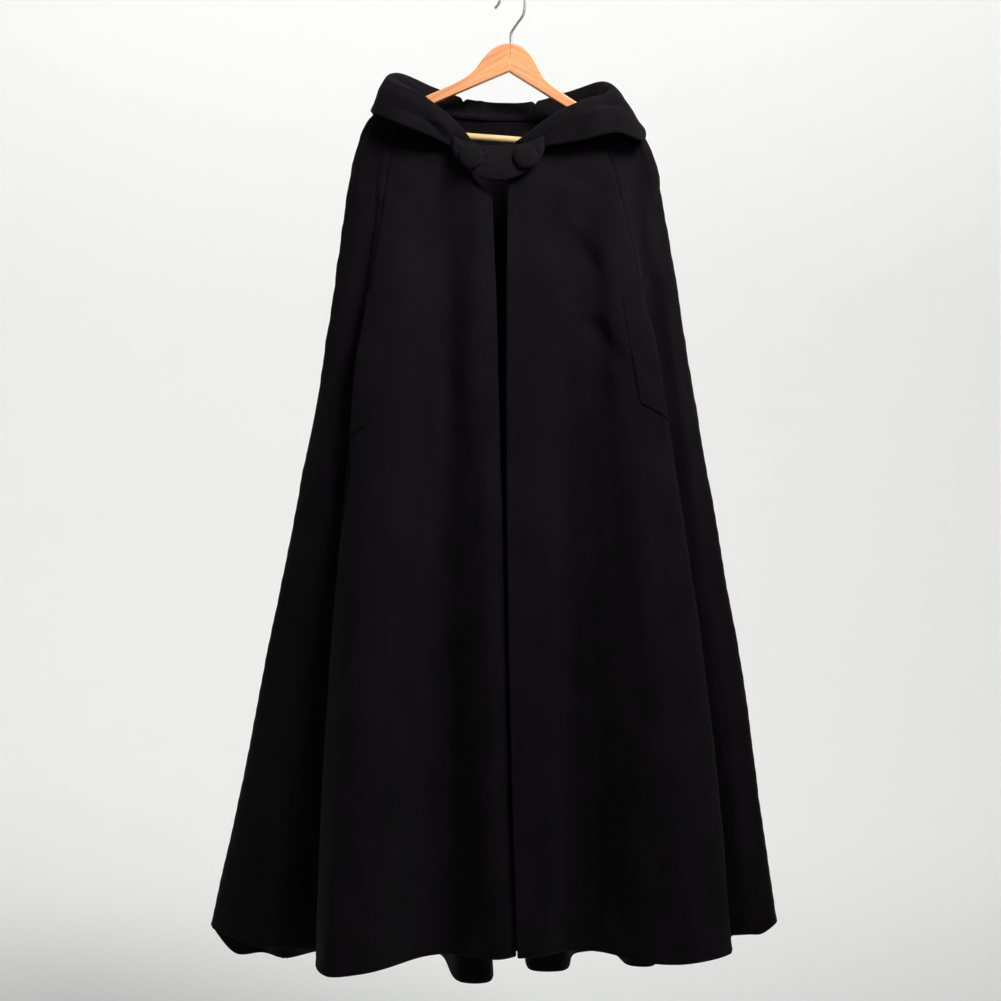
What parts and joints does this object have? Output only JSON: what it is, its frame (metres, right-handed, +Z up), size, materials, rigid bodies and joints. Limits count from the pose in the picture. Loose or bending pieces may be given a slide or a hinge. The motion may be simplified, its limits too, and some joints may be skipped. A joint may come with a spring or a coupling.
{
  "type": "hooded wool cloak on a wooden clothes hanger",
  "caption": "Full-length black wool cloak with a hood thrown back, welted arm slits and a buttoned neck tab, hanging on a wooden clothes hanger with a trouser bar and a wire hook",
  "frame": {"origin": "the inside top of the hanger's hook, where the rail carries it", "axes": "+Z is up, +X is to the right as one looks at the cloak's front (the wearer's left), and the front faces -Y"},
  "size_m": [0.819, 0.3546, 1.4441],
  "materials": {
    "wool": "brushed black melton wool, matt, slight nap",
    "wool_trim": "the same wool, pressed and stitched: welts, neck tab, covered buttons and neck binding",
    "hanger_wood": "varnished honey-coloured beech, satin",
    "bar_wood": "pale varnished dowel",
    "hook_wire": "bright plated steel wire"
  },
  "bodies": {
    "root": {"front_right": "wool", "side_front_right": "wool", "side_back_right": "wool", "back_right": "wool", "back_left": "wool", "side_back_left": "wool", "side_front_left": "wool", "front_left": "wool", "hood_right": "wool", "hood_strip": "wool", "hood_left": "wool", "welt_right_front": "wool_trim", "welt_right_side": "wool_trim", "welt_left_front": "wool_trim", "welt_left_side": "wool_trim", "neck_binding": "wool_trim", "neck_tab": "wool_trim", "button_right": "wool_trim", "button_left": "wool_trim", "hanger_arm_right": "hanger_wood", "hanger_arm_left": "hanger_wood", "trouser_bar": "bar_wood", "hook": "hook_wire"}
  },
  "joints": []
}
